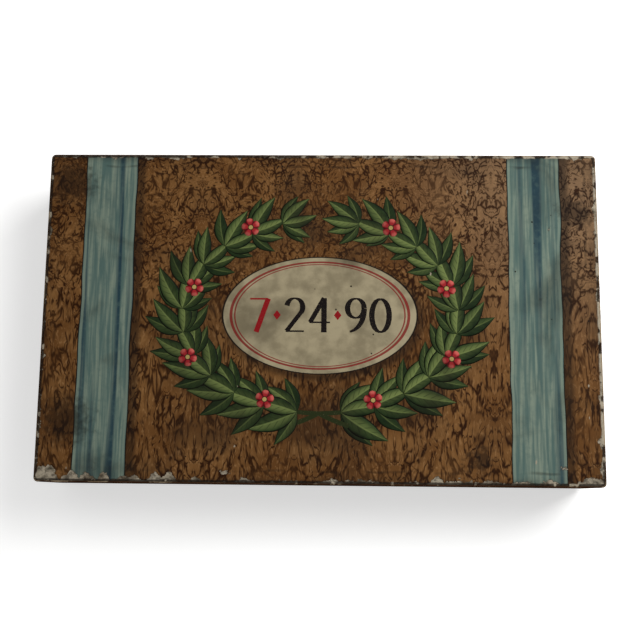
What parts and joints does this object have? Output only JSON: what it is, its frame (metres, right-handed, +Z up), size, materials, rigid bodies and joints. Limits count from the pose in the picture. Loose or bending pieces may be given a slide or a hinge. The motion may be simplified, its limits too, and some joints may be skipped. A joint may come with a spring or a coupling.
{
  "type": "boxed lotto game",
  "caption": "Flat rectangular game box of paper-covered board with a lift-off lid, holding number cards, wooden number discs, cover counters and a cloth draw bag.",
  "frame": {"origin": "on the surface the box stands on, under the middle of the box", "axes": "+X along the long side, +Y across the box towards the back, +Z up out of the lid"},
  "size_m": [0.262, 0.157, 0.045],
  "materials": {
    "strawboard": "matte",
    "partition_board": "matte",
    "stay_paper": "matte",
    "printed_sheet": "satin",
    "lid_cover_paper": "matte",
    "tray_cover_paper": "matte",
    "lining_paper": "matte",
    "card_face": "matte",
    "disc_wood": "satin",
    "counter_stain": "satin",
    "bag_cloth": "matte"
  },
  "bodies": {
    "tray": {"tray_base_board": "strawboard", "tray_front_wall": "strawboard", "tray_back_wall": "strawboard", "tray_left_wall": "strawboard", "tray_right_wall": "strawboard", "tray_corner_stays": "stay_paper", "tray_cover_paper": "tray_cover_paper", "tray_base_paper": "lining_paper", "tray_floor_lining": "lining_paper", "tray_wall_lining": "lining_paper", "cross_partition": "partition_board", "card_partition": "partition_board", "disc_partition": "partition_board", "partition_strips": "stay_paper"},
    "lid": {"lid_top_board": "strawboard", "lid_front_wall": "strawboard", "lid_back_wall": "strawboard", "lid_left_wall": "strawboard", "lid_right_wall": "strawboard", "lid_corner_stays": "stay_paper", "lid_cover_paper": "lid_cover_paper", "lid_infill_paper": "lining_paper", "lid_printed_sheet": "printed_sheet", "lid_lining_paper": "lining_paper"},
    "card_stack": {"number_cards": "card_face"},
    "disc_set": {"number_discs": "disc_wood"},
    "counter_set": {"cover_counters": "counter_stain"},
    "bag": {"draw_bag": "bag_cloth"}
  },
  "joints": [
    {"name": "lid_lift", "type": "slide", "parent": "tray", "child": "lid", "axis": [0, 0, 1], "range_m": [0, 0.12]},
    {"name": "card_stack_lift", "type": "slide", "parent": "tray", "child": "card_stack", "axis": [0, 0, 1], "range_m": [0, 0.011]},
    {"name": "disc_set_lift", "type": "slide", "parent": "tray", "child": "disc_set", "axis": [0, 0, 1], "range_m": [0, 0.023]},
    {"name": "counter_set_lift", "type": "slide", "parent": "tray", "child": "counter_set", "axis": [0, 0, 1], "range_m": [0, 0.033]},
    {"name": "bag_lift", "type": "slide", "parent": "tray", "child": "bag", "axis": [0, 0, 1], "range_m": [0, 0.029]}
  ]
}
